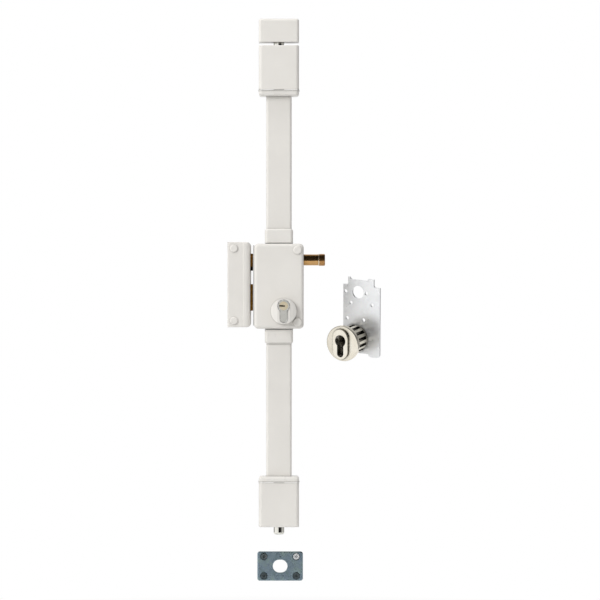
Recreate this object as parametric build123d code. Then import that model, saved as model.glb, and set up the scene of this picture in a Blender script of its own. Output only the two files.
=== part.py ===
from build123d import *
import os
from math import acos, atan2, ceil, cos, degrees, floor, pi, radians, sin, sqrt, tan

# Multipoint rim lock with its cylinder, keepers, floor strike and exterior unit, in millimetres.
# X points right, Z points up and the front faces -Y. Y = 0 is the face of the door.
# A depth is measured forward from the door, so a depth of d lies at Y = -d.
# The lock is drawn locked: every bolt is thrown, as on the closed door.

# Clearances and cuts that all pieces share
overrun = 2.0
running_gap = 0.05
slide_gap = 0.3
layer_gap = 0.5
joint_line = 0.2
hole_gap = 0.4

# Lock case: cover, back plate and the plate on its bolt side
case_width = 74.0
case_height = 127.0
case_depth = 36.0
case_wall = 2.0
case_corner = 6.5
case_edge = 5.0
back_thick = 2.5
back_fit = 0.25
fixing_inset_x = 19.0
fixing_inset_z = 6.5
fixing_r = 2.75
forend_short = 7.0
forend_edge = 5.0
forend_thick = 1.5
forend_corner = 5.0
forend_rise = 1.3
forend_screw_r = 1.5
forend_screw_length = 7.0
forend_screw_inset = 5.5

# Cover screws, the pillars that they pass and their domed caps
cover_screw_inset_x = 9.2
cover_screw_inset_z = 9.9
cap_r = 6.6
cap_rise = 2.4
cap_dome = 2.1
pillar_length = 6.3
post_r = 4.5
screw_r = 2.0
screw_head_r = 4.0
screw_head_thick = 2.2
screw_length = 18.0
head_recess = 3.0
recess_gap = 0.3
drive_slot = 0.9
drive_slot_deep = 1.2
drive_slot_long = 4.6

# Profile cylinder: a round bore over a round-ended slot
euro_r = 8.5
euro_height = 33.0
euro_slot = 10.0
cylinder_x = 7.2
cylinder_z = -29.4
cylinder_proud = 1.5
cylinder_outside = 45.0
plug_r = 6.5
cam_gap = 0.35
clutch_r = 3.4
keyway_thick = 2.0
keyway_step = 0.8
keyway_reach = 1.8
keyway_overlap = 2.6
keyway_end = 12.0
pin_r = 1.35
pin_first = 6.0
pin_pitch = 7.0
pin_count = 5
key_pin_length = 5.6
driver_pin_length = 4.0
chamber_bottom = 17.0
cylinder_screw_r = 2.5
flat_head_share = 1.7
cylinder_screw_drop = 18.7
cylinder_screw_reach = 4.0

# Round boss that frames the cylinder on the case front
boss_r = 19.2
boss_height = 12.0
boss_drop = 8.0
boss_flat = 18.5
boss_facet = 5.2
boss_fall_share = 0.16
boss_edge_height = 6.5

# Gears: the cam and the wheel have one module, the pinions and racks a smaller one
wheel_module = 2.0
rack_module = 1.0
cam_teeth = 10
wheel_teeth = 20
rod_pinion_teeth = 9
bolt_pinion_teeth = 13
pressure = radians(20)
undercut_teeth = 17
root_share = 1.25
tip_share = 0.85
gear_thick = 4.5
gear_lift = 0.7
wheel_lash = 0.25
rack_lash = 0.18
rack_tip_trim = 0.05
rack_overhang = 3.2
shaft_r = 2.5
shaft_over = 2.6
clip_r = 4.2
clip_thick = 0.8
clip_groove = 0.4
clip_mouth = 2.6

# Dead bolt and its toothed tail
tail_thick = 5.0
tail_body = 6.0
bolt_front_gap = 4.7
dead_top = 3.0
dead_bottom = -36.6
dead_round = 0.8
tail_join_width = 5.7
guide_post_r = 3.0
guide_post_over = 1.5
guide_post_x = 21.0
guide_gap = 0.15

# Latch bolt, pull rod and latch spring
latch_inset = 15.0
latch_clear = 2.4
latch_thin = 0.4
latch_throw = 13.9
latch_back = -14.0
latch_bevel_long = 12.0
latch_bevel_share = 0.66
latch_round = 0.6
pull_inset = 24.2
pull_rod_r = 4.0
pull_rod_seat = 8.0
barrel_r = 8.3
barrel_clear = 1.0
barrel_reach = 21.8
pull_ring_thick = 1.5
pull_ring_r = 8.6
pull_cap_long = 8.55
pull_cap_r = 8.9
pull_cap_round = 1.6
bracket_x = 14.0
bracket_thick = 2.5
bracket_height = 17.0
bracket_foot = 10.0
bracket_rise = 7.5
spring_r = 5.5
spring_wire_r = 0.6
spring_turns = 7

# Flat rods and the round bolts at their ends
rod_width = 16.0
rod_thick = 5.0
rod_arm_edge = 12.0
rod_jog = 6.0
rod_clear = 0.8
rod_neck_width = 11.0
bolt_r = 8.0
bolt_round = 3.0
bolt_throw = 12.1
bolt_length = 66.0
bolt_slot_deep = 17.0
bolt_slot_gap = 0.12
cross_pin_r = 2.0
cross_pin_inset = 7.0
cross_pin_short = 0.4

# Collars and bar covers between the case and the guide boxes
collar_gap = 1.2
collar_width = 42.0
collar_height = 21.0
collar_depth = 28.5
collar_corner = 4.5
collar_chamfer = 2.2
collar_tongue = 4.0
bar_width = 38.0
bar_depth = 24.0
bar_corner = 3.6
bar_wall = 1.5
bar_inset = 4.5

# Guide boxes that carry the round bolts
guide_start = 283.7
guide_cap_height = 9.6
guide_height = 65.9
guide_width = 60.0
guide_depth = 34.0
guide_wall = 2.0
guide_edge = 5.0
guide_cap_round = 3.8
guide_end_round = 1.5
guide_seam_gap = 0.6
guide_lip = 0.8
guide_lip_height = 1.2
guide_base_thick = 1.5
guide_base_inset = 2.2
guide_base_clear = 0.3
guide_block_width = 38.0
guide_block_height = 29.0
guide_block_deep = 20.0
guide_block_start = 23.5
guide_screw_x = 14.5
guide_screw_r = 1.8
guide_screw_head_r = 3.2
guide_screw_head = 2.0
guide_fixing_x = 44.0
guide_fixing_z = 51.0
guide_fixing_r = 2.3

# Top keeper on the door frame
keeper_gap = 5.0
top_keeper_height = 35.0
top_keeper_width = 60.0
top_keeper_depth = 32.0
top_keeper_wall = 2.2
top_keeper_edge = 4.0
top_base_thick = 2.5
top_base_lip = 3.0
top_base_lip_depth = 24.0
top_fixing_pitch = 40.0
top_fixing_rise = 21.0
top_fixing_r = 2.5
top_bolt_gap = 0.8

# Side keeper on the door frame
side_keeper_gap = 4.7
side_keeper_width = 35.0
side_keeper_height = 127.1
side_keeper_rise = 2.35
side_keeper_drop = 2.0
side_keeper_wall = 2.2
side_keeper_ridge = 0.9
side_ridge_width = 2.8
side_shoulder = 8.1
side_left_round = 2.0
side_right_corner = 6.5
side_end_round = 3.0
side_base_thick = 2.5
side_flange_thick = 2.0
side_cap_x = 9.8
side_cap_inset = 9.65
side_cap_r = 6.0
side_fixing_x = 16.0
side_fixing_inset = 27.55
side_fixing_r = 2.5

# Floor strike plate, shown face on below the lower bolt
strike_width = 68.3
strike_height = 43.9
strike_thick = 3.0
strike_corner = 3.8
strike_bevel = 1.3
strike_drop = 26.3
strike_shift = 1.7
strike_hole_width = 22.0
strike_hole_height = 19.3
strike_pitch_x = 48.6
strike_pitch_z = 29.1
strike_screw_r = 2.2
strike_head_r = 4.7
strike_head_proud = 0.5
strike_ring = 0.8
strike_ring_deep = 0.9
strike_socket_r = 1.5
strike_countersink = 2.2
strike_screw_length = 24.0
strike_neck_r = 2.4
strike_neck_end = 0.5
strike_dimple_r = 0.8
strike_dimple_x = 2.2
strike_dimple_z = 14.3

# Exterior unit: plate, slotted tube, rosette and raised insert, turned as it is shown
outer_gap_x = 77.8
outer_drop = 48.9
outer_back = 20.0
outer_yaw = radians(30.6)
outer_pitch = radians(13)
outer_plate_thick = 2.5
outer_left = 21.0
outer_right = 42.0
outer_shoulder = 82.0
outer_bottom = 22.0
outer_tab_rise = 11.7
outer_tab_left = 12.7
outer_tab_right = 31.4
outer_foot_width = 20.0
outer_foot_drop = 4.0
outer_foot_round = 5.0
outer_recess_width = 31.0
outer_recess_x = 6.0
outer_recess_deep = 3.2
outer_notch_round = 3.0
outer_hole_r = 9.8
outer_hole_x = 4.5
outer_hole_z = 71.7
outer_fixing_r = 2.75
outer_low_x = 14.1
outer_low_z = 30.0
outer_mid_x = 18.2
outer_mid_z = 54.5
outer_mid_shift = 10.5
outer_high_x = 18.0
outer_high_z = 71.2
outer_high_shift = 1.0
tube_r = 21.5
tube_wall = 3.0
tube_length = 34.0
tube_slots = 14
tube_slot_width = 5.2
tube_slot_start = 3.5
tube_slot_end = 1.5
tube_floor = 3.0
tube_screw_r = 1.6
tube_screw_ring = 14.5
tube_screw_head_r = 3.0
tube_screw_head = 1.2
tube_screw_tip = 0.4
rosette_r = 27.0
rosette_thick = 6.0
rosette_edge = 1.4
insert_width = 25.4
insert_height = 45.6
insert_rise = 4.0
insert_round = 0.7
insert_fit = 0.15
insert_x = -1.5
insert_z = -0.4
outer_euro_x = -1.0
outer_euro_z = 4.8

# Layers of the mechanism, counted forward from the door
gear_low = back_thick + gear_lift
gear_high = gear_low + gear_thick
gear_mid = (gear_low + gear_high) / 2
rod_low = gear_high + layer_gap
rod_high = rod_low + rod_thick
rod_mid = (rod_low + rod_high) / 2
tail_low = rod_high + layer_gap
tail_high = tail_low + tail_thick
bolt_thick = case_depth - case_wall - bolt_front_gap - tail_low
bolt_mid = tail_low + bolt_thick / 2
pinion_step = rod_high + layer_gap / 2
pinion_top = tail_high + layer_gap / 2
boss_face = case_depth + boss_height
cylinder_face = boss_face + cylinder_proud

# Gear centres, travels and the ends that follow from them
cam_shift = (undercut_teeth - cam_teeth) / undercut_teeth
rod_shift = (undercut_teeth - rod_pinion_teeth) / undercut_teeth
bolt_shift = (undercut_teeth - bolt_pinion_teeth) / undercut_teeth
mesh_distance = wheel_module * ((cam_teeth + wheel_teeth) / 2 + cam_shift)
drive_z = cylinder_z + sqrt(mesh_distance**2 - cylinder_x**2)
mesh_angle = degrees(atan2(cylinder_z - drive_z, cylinder_x))
rod_travel = rack_module * rod_pinion_teeth / 2 * pi
dead_travel = rack_module * bolt_pinion_teeth / 2 * pi
cam_tip = wheel_module * (cam_teeth / 2 + tip_share + cam_shift)
rod_pinion_tip = rack_module * (rod_pinion_teeth / 2 + tip_share + rod_shift)
bolt_pinion_tip = rack_module * (bolt_pinion_teeth / 2 + tip_share + bolt_shift)
rod_line = rack_module * (rod_pinion_teeth / 2 + rod_shift)
tail_line = drive_z + rack_module * (bolt_pinion_teeth / 2 + bolt_shift)
tail_top = tail_line + rack_module * root_share + tail_body
forend_face = -case_width / 2 - forend_thick
forend_height = case_height - forend_short
forend_depth = case_depth - case_wall - forend_edge
guide_seam = guide_start + guide_cap_height
guide_end = guide_seam + guide_height
bolt_tip = guide_end + bolt_throw
bolt_start = bolt_tip - bolt_length

# Lock case: its fixings, screw pillars and the cylinder's fixing screw
fixing_pitch_x = case_width - 2 * fixing_inset_x
fixing_pitch_z = case_height - 2 * fixing_inset_z
cover_screw_x = case_width / 2 - cover_screw_inset_x
cover_screw_z = case_height / 2 - cover_screw_inset_z
pillar_low = case_depth - pillar_length
head_low = case_depth - head_recess
cylinder_screw_z = cylinder_z - cylinder_screw_drop

# Drive gear: the clip's groove
groove_low = pinion_top + layer_gap / 2
groove_high = groove_low + clip_thick

# Dead bolt: its ends
dead_tip = forend_face - dead_travel
dead_back = cylinder_x - euro_r - dead_travel - layer_gap

# Latch bolt and pull rod: their ends
latch_thick = bolt_thick - latch_thin
latch_bevel_deep = latch_thick * latch_bevel_share
latch_top = case_height / 2 - latch_inset
latch_bottom = tail_top + guide_gap + 2 * guide_post_r + latch_clear
pull_z = case_height / 2 - pull_inset
latch_low = bolt_mid - latch_thick / 2
latch_high = bolt_mid + latch_thick / 2
latch_tip = forend_face - latch_throw
barrel_start = guide_post_x + guide_post_r + barrel_clear
barrel_end = case_width / 2 + barrel_reach
ring_end = barrel_end + pull_ring_thick

# Flat rods: the rack's root and the end in the bolt
rack_root = rod_line + rack_module * root_share
bar_stop = bolt_start + bolt_slot_deep - layer_gap
neck_start = bolt_start - layer_gap

# Collars: their ends
collar_start = case_height / 2 + collar_gap
collar_end = collar_start + collar_height

# Guide boxes: edges of the base plate and the block
guide_inner = guide_width / 2 - guide_wall - guide_base_clear
base_low = guide_seam + guide_base_inset
base_high = guide_end - guide_wall - guide_base_clear
base_mid = (base_low + base_high) / 2
block_low = guide_seam + guide_block_start
block_high = block_low + guide_block_height
block_mid = (block_low + block_high) / 2
block_top = guide_base_thick + guide_block_deep

# Top keeper: its ends
keeper_low = guide_end + keeper_gap
keeper_high = keeper_low + top_keeper_height
top_base_low = keeper_low + top_keeper_wall + joint_line
top_base_high = keeper_high - top_keeper_wall - joint_line
top_fixing_z = keeper_low + top_fixing_rise

# Side keeper: its edges
keeper_right = forend_face + forend_thick - side_keeper_gap
keeper_left = keeper_right - side_keeper_width
keeper_bottom = side_keeper_rise - side_keeper_height / 2
keeper_top = side_keeper_rise + side_keeper_height / 2
side_keeper_depth = case_depth - side_keeper_drop
side_face = side_keeper_depth - side_keeper_ridge
side_cap_z = side_keeper_height / 2 - side_cap_inset
side_fixing_z = side_keeper_height - 2 * side_fixing_inset
ridge_right = keeper_right - side_shoulder
ridge_left = ridge_right - side_ridge_width
side_pillar_low = side_face - pillar_length
side_head_low = side_face - head_recess

# Floor strike plate: its centre
strike_z = -bolt_tip - strike_drop - strike_height / 2


# Shapes that many pieces use

def front_plate(outline, depth_low, depth_high):
    """Raises an outline in X and Z from one depth to another."""
    return extrude(Plane.XZ.offset(depth_low) * outline, depth_high - depth_low, dir=(0, -1, 0))


def plan_bar(outline, z_low, z_high):
    """Raises an outline in X and depth between two heights."""
    top = Plane(origin=(0, 0, z_high), x_dir=(1, 0, 0), z_dir=(0, 0, -1))
    return extrude(top * outline, z_high - z_low, dir=(0, 0, -1))


def side_bar(outline, x_low, x_high):
    """Raises an outline in depth and Z between two places along X."""
    right = Plane(origin=(x_high, 0, 0), x_dir=(0, -1, 0), z_dir=(-1, 0, 0))
    return extrude(right * outline, x_high - x_low, dir=(-1, 0, 0))


def span(low, high, other_low, other_high):
    """A rectangle between two pairs of values."""
    middle = Pos((low + high) / 2, (other_low + other_high) / 2)
    return middle * Rectangle(high - low, other_high - other_low)


def box(x_low, x_high, z_low, z_high, depth_low, depth_high):
    """A block between two places in X, Z and depth."""
    return front_plate(span(x_low, x_high, z_low, z_high), depth_low, depth_high)


def depth_rod(x, z, radius, depth_low, depth_high):
    """A round bar that points out of the door."""
    return front_plate(Pos(x, z) * Circle(radius), depth_low, depth_high)


def cross_rod(depth, z, radius, x_low, x_high):
    """A round bar along X."""
    return side_bar(Pos(depth, z) * Circle(radius), x_low, x_high)


def tall_rod(x, depth, radius, z_low, z_high):
    """A round bar along Z."""
    return plan_bar(Pos(x, depth) * Circle(radius), z_low, z_high)


def lower_copy(piece):
    """The same piece at the other end of the lock."""
    return mirror(piece, about=Plane.XY)


def slotted_screw(head_r, head_thick, shank_r, length):
    """A screw along local Z whose head's top is at zero, with a crossed recess."""
    head = Pos(0, 0, -head_thick / 2) * Cylinder(head_r, head_thick)
    shank = Pos(0, 0, -head_thick - length / 2) * Cylinder(shank_r, length)
    recess = Pos(0, 0, -drive_slot_deep / 2) * Box(drive_slot_long, drive_slot, drive_slot_deep)
    return head + shank - recess - Rot(Z=90) * recess


def forward(x, z, depth):
    """The place of a screw that points into the door, with its head's top at a depth."""
    return Pos(x, -depth, z) * Rot(X=90)


def profile_face(gap):
    """The cylinder's outline about its plug, grown by a gap."""
    foot = euro_height - euro_r - euro_slot / 2
    stem = span(-euro_slot / 2 - gap, euro_slot / 2 + gap, -foot, 0)
    return Circle(euro_r + gap) + stem + Pos(0, -foot) * Circle(euro_slot / 2 + gap)


def cap_button(radius):
    """A domed cap along local Z that stands on zero."""
    button = Pos(0, 0, cap_rise / 2) * Cylinder(radius, cap_rise)
    return fillet(button.edges().sort_by(Axis.Z)[-1], cap_dome)


def save(name, *pieces):
    """Writes one sub-part, a single solid or a group of separate solids."""
    solids = [solid for piece in pieces for solid in piece.solids()]
    export_step(Compound(solids), f"parts/{name}.step")


# Gears and racks

def involute(angle):
    """The involute of a pressure angle."""
    return tan(angle) - angle


def polar(radius, angle):
    """A point at a radius and an angle in radians."""
    return (radius * cos(angle), radius * sin(angle))


def gear_face(teeth, module, shift, lash):
    """A gear outline about zero, with one tooth centred on the local X axis."""
    pitch_r = module * teeth / 2
    base_r = pitch_r * cos(pressure)
    tip_r = pitch_r + module * (tip_share + shift)
    root_r = pitch_r - module * (root_share - shift)
    half_tooth = (pi / 2 + 2 * shift * tan(pressure)) / teeth - lash / (2 * pitch_r)

    def flank(radius):
        return half_tooth + involute(pressure) - involute(acos(base_r / radius))

    middle_r = (base_r + tip_r) / 2
    step = 2 * pi / teeth
    edges = []
    for number in range(teeth):
        turn = number * step
        rise = [polar(r, turn - flank(r)) for r in (base_r, middle_r, tip_r)]
        fall = [polar(r, turn + flank(r)) for r in (tip_r, middle_r, base_r)]
        root_start = polar(root_r, turn - flank(base_r))
        root_end = polar(root_r, turn + flank(base_r))
        next_start = polar(root_r, turn + step - flank(base_r))
        edges += [
            Line(root_start, rise[0]),
            ThreePointArc(*rise),
            ThreePointArc(rise[2], polar(tip_r, turn), fall[0]),
            ThreePointArc(*fall),
            Line(fall[2], root_end),
            ThreePointArc(root_end, polar(root_r, turn + step / 2), next_start),
        ]
    return make_face(edges)


def rack_face(low, high, gap_at_zero, body):
    """A toothed strip along local X between two ends, with its teeth pointing down."""
    pitch = pi * rack_module
    tip = rack_module * (1 - rack_tip_trim)
    root = rack_module * root_share
    half_line = pitch / 4 - rack_lash / 2
    half_tip = half_line - tip * tan(pressure)
    half_root = half_line + root * tan(pressure)
    phase = 1 / 2 if gap_at_zero else 0
    first = ceil((low + half_root) / pitch - phase)
    last = floor((high - half_root) / pitch - phase)
    strip = span(low, high, root, root + body)
    for number in range(first, last + 1):
        centre = (number + phase) * pitch
        tooth = Polygon(
            (centre - half_root, root),
            (centre - half_tip, -tip),
            (centre + half_tip, -tip),
            (centre + half_root, root),
            align=None,
        )
        strip += tooth
    return strip


# Lock case

def rounded_case(inset, depth_low):
    """The case's outer form, or its hollow when it is inset by a wall."""
    outline = RectangleRounded(
        case_width - 2 * inset, case_height - 2 * inset, case_corner - inset
    )
    form = front_plate(outline, depth_low, case_depth - inset)
    front = form.faces().sort_by(Axis.Y)[0]
    return fillet(front.edges(), case_edge - inset)


def bolt_window(z_low, z_high, depth_low, depth_high, x_low, x_high):
    """The cut that a sliding bolt passes through."""
    outline = span(
        depth_low - slide_gap, depth_high + slide_gap, z_low - slide_gap, z_high + slide_gap
    )
    return side_bar(outline, x_low, x_high)


def bolt_windows(x_low, x_high):
    """The cuts for the latch bolt and the dead bolt."""
    latch = bolt_window(latch_bottom, latch_top, latch_low, latch_high, x_low, x_high)
    dead = bolt_window(dead_bottom, dead_top, tail_low, tail_low + bolt_thick, x_low, x_high)
    return latch + dead


def case_fixings():
    """The four places where screws hold the case to the door."""
    return GridLocations(fixing_pitch_x, fixing_pitch_z, 2, 2)


def back_plate():
    inset = case_wall + back_fit
    outline = RectangleRounded(
        case_width - 2 * inset, case_height - 2 * inset, case_corner - case_wall
    )
    outline += collar_tongues(0)
    outline -= case_fixings() * Circle(fixing_r)
    outline -= Pos(cylinder_x, cylinder_z) * profile_face(hole_gap)
    return front_plate(outline, 0, back_thick)


def collar_tongues(gap):
    """The back plate's ends, which run under the collars, or their notches in the cover."""
    shoulder = collar_width / 2 + gap
    end = collar_start - joint_line
    neck = bar_width / 2
    inner = case_height / 2 - case_wall - case_corner
    return span(-shoulder, shoulder, -end, -inner) + span(-shoulder, shoulder, inner, end) + (
        span(-neck, neck, -end - collar_tongue, -inner) + span(-neck, neck, inner, end + collar_tongue)
    )


def cover_places():
    """The two cover screws, at the corners away from the bolts."""
    return [(cover_screw_x, cover_screw_z), (cover_screw_x, -cover_screw_z)]


def case_cover():
    cover = rounded_case(0, 0) - rounded_case(case_wall, -overrun)
    for x, z in cover_places():
        cover += depth_rod(x, z, cap_r, pillar_low, case_depth)
        cover -= depth_rod(x, z, screw_head_r + hole_gap, head_low, case_depth + overrun)
        cover -= depth_rod(x, z, screw_r + hole_gap, pillar_low - overrun, head_low)
    side = case_width / 2
    cut_start = -side - overrun
    cut_end = -side + case_wall + overrun
    cover -= bolt_windows(cut_start, cut_end)
    cover -= cross_rod(bolt_mid, pull_z, barrel_r + hole_gap, side - case_wall - overrun, side + overrun)
    opening = Pos(cylinder_x, cylinder_z) * profile_face(hole_gap)
    cover -= front_plate(opening, case_depth - case_wall - overrun, case_depth + overrun)
    half = rod_width / 2 + layer_gap
    end = case_height / 2
    window_low = rod_low - layer_gap
    window_high = rod_high + layer_gap
    cover -= box(-half, half, end - case_wall - overrun, end + overrun, window_low, window_high)
    arm_side = -rod_arm_edge - layer_gap
    cover -= box(arm_side, half, -end - overrun, -end + case_wall + overrun, window_low, window_high)
    for z in forend_screw_heights():
        cover -= cross_rod(bolt_mid, z, forend_screw_r + running_gap, cut_start, cut_end)
    cover -= front_plate(collar_tongues(back_fit), -overrun, back_thick + back_fit)
    cover -= cross_rod(gear_mid, cylinder_screw_z, cylinder_screw_r + hole_gap, cut_start, cut_end)
    return cover


def forend_screw_heights():
    """The heights of the two small screws of the forend plate."""
    half = forend_height / 2 - forend_screw_inset
    return (forend_rise - half, forend_rise + half)


def countersunk_screw(shank_r, length, head_share):
    """A flat-headed screw along local Z whose head's top is at zero."""
    head_r = shank_r * head_share
    head_thick = head_r - shank_r
    head = Pos(0, 0, -head_thick / 2) * Cone(shank_r, head_r, head_thick)
    shank = Pos(0, 0, -head_thick - (length - head_thick) / 2) * Cylinder(shank_r, length - head_thick)
    recess = Pos(0, 0, -shank_r / 4) * Box(shank_r * 2, shank_r / 2, shank_r / 2)
    return head + shank - recess - Rot(Z=90) * recess


def screw_seat(shank_r, gap):
    """The cut that a flat-headed screw of the same size seats in."""
    head_r = shank_r * flat_head_share
    head_thick = head_r - shank_r
    cone = Pos(0, 0, -head_thick / 2) * Cone(shank_r + gap, head_r + gap, head_thick)
    hole = Cylinder(shank_r + gap, 2 * (forend_thick + overrun))
    return cone + hole


def forend_plate():
    outline = Pos(case_wall + forend_depth / 2, forend_rise) * RectangleRounded(
        forend_depth, forend_height, forend_corner
    )
    plate = side_bar(outline, forend_face, forend_face + forend_thick)
    plate -= bolt_windows(forend_face - overrun, forend_face + forend_thick + overrun)
    for z in forend_screw_heights():
        plate -= from_left(bolt_mid, z) * screw_seat(forend_screw_r, running_gap)
    plate -= from_left(gear_mid, cylinder_screw_z) * screw_seat(cylinder_screw_r, running_gap)
    return plate


def from_left(depth, z):
    """The place of a screw that enters from the forend side."""
    return Pos(forend_face, -depth, z) * Rot(Y=-90)


def forend_screws():
    screw = countersunk_screw(forend_screw_r, forend_screw_length, flat_head_share)
    return [from_left(bolt_mid, z) * screw for z in forend_screw_heights()]


def cylinder_screw():
    length = cylinder_x + cylinder_screw_reach - forend_face
    screw = countersunk_screw(cylinder_screw_r, length, flat_head_share)
    return from_left(gear_mid, cylinder_screw_z) * screw


def cover_screws():
    screw = slotted_screw(screw_head_r, screw_head_thick, screw_r, screw_length)
    top = head_low + screw_head_thick
    return [forward(x, z, top) * screw for x, z in cover_places()]


def cover_caps():
    """Domed caps, each with a short spigot in the screw's recess."""
    spigot_long = head_recess - screw_head_thick - recess_gap
    caps = []
    for x, z in cover_places():
        cap = forward(x, z, case_depth) * cap_button(cap_r)
        caps.append(cap + depth_rod(x, z, screw_head_r, case_depth - spigot_long, case_depth))
    return caps


def case_posts():
    """Posts that stand on the back plate: two for the cover, two that guide the dead bolt's tail."""
    posts = []
    for x, z in cover_places():
        post = depth_rod(x, z, post_r, back_thick, pillar_low)
        bore_low = head_low - screw_length - layer_gap
        posts.append(post - depth_rod(x, z, screw_r + running_gap, bore_low, pillar_low + overrun))
    guide_z = tail_top + guide_gap + guide_post_r
    for x in (-guide_post_x, guide_post_x):
        posts.append(depth_rod(x, guide_z, guide_post_r, back_thick, tail_high + guide_post_over))
    return posts


# Cylinder with its plugs, clutch, toothed cam and pins

def at_cylinder(piece):
    return Pos(cylinder_x, 0, cylinder_z) * piece


def pin_depths():
    """Depths of the inner half's pins, then of the outer half's."""
    inner = [gear_high + pin_first + number * pin_pitch for number in range(pin_count)]
    outer = [gear_low - pin_first - number * pin_pitch for number in range(pin_count)]
    return inner + outer


def pin_chamber(depth, top, bottom, radius):
    """A round bar below the plug's axis, for a pin or for its chamber."""
    return tall_rod(0, depth, radius, -bottom, -top)


def cylinder_body():
    body = front_plate(profile_face(0), -cylinder_outside, cylinder_face)
    body -= depth_rod(0, 0, plug_r + running_gap, -cylinder_outside - overrun, cylinder_face + overrun)
    reach = cam_tip + hole_gap
    body -= box(-reach, reach, -reach, reach, gear_low - cam_gap, gear_high + cam_gap)
    half = euro_slot / 2 + overrun
    body -= cross_rod(gear_mid, -cylinder_screw_drop, cylinder_screw_r + running_gap, -half, half)
    for depth in pin_depths():
        body -= pin_chamber(depth, plug_r - overrun, chamber_bottom, pin_r + running_gap)
    return at_cylinder(body)


def keyway_face():
    """The stepped key slot, open at the plug's left side."""
    low = -keyway_step
    outer = span(-plug_r - overrun, keyway_reach - keyway_overlap, low, low + keyway_thick)
    inner = span(-keyway_reach - keyway_overlap, keyway_reach, -low - keyway_thick, -low)
    return outer + inner


def cylinder_plug(depth_low, depth_high, keyway_low, keyway_high, pins):
    """A plug between two depths, with its key slot and its pin holes."""
    plug = depth_rod(0, 0, plug_r, depth_low, depth_high)
    plug -= front_plate(keyway_face(), keyway_low, keyway_high)
    for depth in pins:
        plug -= pin_chamber(depth, 0, plug_r + overrun, pin_r + running_gap)
    return at_cylinder(plug)


def inner_plug():
    pins = pin_depths()[:pin_count]
    return cylinder_plug(gear_high, cylinder_face, keyway_end, cylinder_face + overrun, pins)


def outer_plug():
    pins = pin_depths()[pin_count:]
    keyway_start = gear_high - keyway_end
    return cylinder_plug(-cylinder_outside, gear_low, -cylinder_outside - overrun, keyway_start, pins)


def key_pins():
    top = plug_r - running_gap * 4 - key_pin_length
    return [at_cylinder(pin_chamber(depth, top, top + key_pin_length, pin_r)) for depth in pin_depths()]


def driver_pins():
    top = plug_r + running_gap * 2
    return [at_cylinder(pin_chamber(depth, top, top + driver_pin_length, pin_r)) for depth in pin_depths()]


def cam_gear():
    """The toothed cam between the plugs, with a gap between teeth facing the wheel."""
    gap_turn = mesh_angle + 180 + 180 / cam_teeth
    face = Rot(Z=gap_turn) * gear_face(cam_teeth, wheel_module, cam_shift, wheel_lash)
    face -= Circle(clutch_r + running_gap)
    return at_cylinder(front_plate(face, gear_low, gear_high))


def clutch():
    return at_cylinder(depth_rod(0, 0, clutch_r, gear_low, gear_high))


# Drive gear on its shaft

def at_drive(piece):
    return Pos(0, 0, drive_z) * piece


def drive_gear():
    """One hub with the wheel, the rods' pinion and the dead bolt's pinion."""
    wheel = Rot(Z=mesh_angle) * gear_face(wheel_teeth, wheel_module, 0, wheel_lash)
    rod_pinion = gear_face(rod_pinion_teeth, rack_module, rod_shift, rack_lash)
    bolt_pinion = Rot(Z=90) * gear_face(bolt_pinion_teeth, rack_module, bolt_shift, rack_lash)
    hub = front_plate(wheel, gear_low, gear_high)
    hub += front_plate(rod_pinion, gear_high, pinion_step)
    hub += front_plate(bolt_pinion, pinion_step, pinion_top)
    hub -= depth_rod(0, 0, shaft_r + running_gap, 0, pinion_top + overrun)
    return at_drive(hub)


def drive_shaft():
    shaft = depth_rod(0, 0, shaft_r, back_thick, pinion_top + shaft_over)
    ring = depth_rod(0, 0, shaft_r + overrun, groove_low, groove_high)
    core = depth_rod(0, 0, shaft_r - clip_groove, groove_low, groove_high)
    return at_drive(shaft - (ring - core))


def drive_clip():
    """An open ring in the shaft's groove."""
    low = groove_low + running_gap
    high = groove_high - running_gap
    ring = depth_rod(0, 0, clip_r, low, high)
    ring -= depth_rod(0, 0, shaft_r - clip_groove + running_gap, low - overrun, high + overrun)
    mouth = clip_mouth / 2
    return at_drive(ring - box(-mouth, mouth, 0, clip_r + overrun, low - overrun, high + overrun))


# Dead bolt

def dead_bolt():
    """A block whose tail carries the rack above the pinion, notched to clear that pinion."""
    head = box(dead_tip, dead_back, dead_bottom, dead_top, tail_low, tail_low + bolt_thick)
    tip = head.faces().sort_by(Axis.X)[0]
    head = chamfer(tip.edges(), dead_round)
    join_right = -bolt_pinion_tip - dead_travel - layer_gap
    notch_low = drive_z - bolt_pinion_tip - layer_gap
    notch_high = dead_top + overrun
    head -= box(join_right, dead_back + overrun, notch_low, notch_high, 0, case_depth)
    join_left = join_right - tail_join_width
    join = box(join_left, join_right, dead_top - overrun, tail_top, tail_low, tail_high)
    rack = rack_face(join_right - overrun, rack_overhang + rack_module, True, tail_body)
    rack = front_plate(Pos(0, tail_line) * rack, tail_low, tail_high)
    return head + join + rack


# Latch bolt with its pull rod

def latch_bolt():
    """A spring bolt with its slope towards the door's outer face."""
    outline = Polygon(
        (latch_back, latch_low),
        (latch_back, latch_high),
        (latch_tip, latch_high),
        (latch_tip, latch_low + latch_bevel_deep),
        (latch_tip + latch_bevel_long, latch_low),
        align=None,
    )
    bolt = plan_bar(outline, latch_bottom, latch_top)
    long_edges = bolt.edges().filter_by(Axis.X)
    bolt = chamfer(long_edges, latch_round)
    seat = latch_back - pull_rod_seat
    return bolt - cross_rod(bolt_mid, pull_z, pull_rod_r + running_gap, seat, latch_back + overrun)


def latch_rod():
    low = latch_back - pull_rod_seat
    return cross_rod(bolt_mid, pull_z, pull_rod_r, low, barrel_start + pull_rod_seat)


def pull_barrel():
    barrel = cross_rod(bolt_mid, pull_z, barrel_r, barrel_start, barrel_end)
    seat = barrel_start + pull_rod_seat
    return barrel - cross_rod(bolt_mid, pull_z, pull_rod_r + running_gap, barrel_start - overrun, seat)


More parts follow.
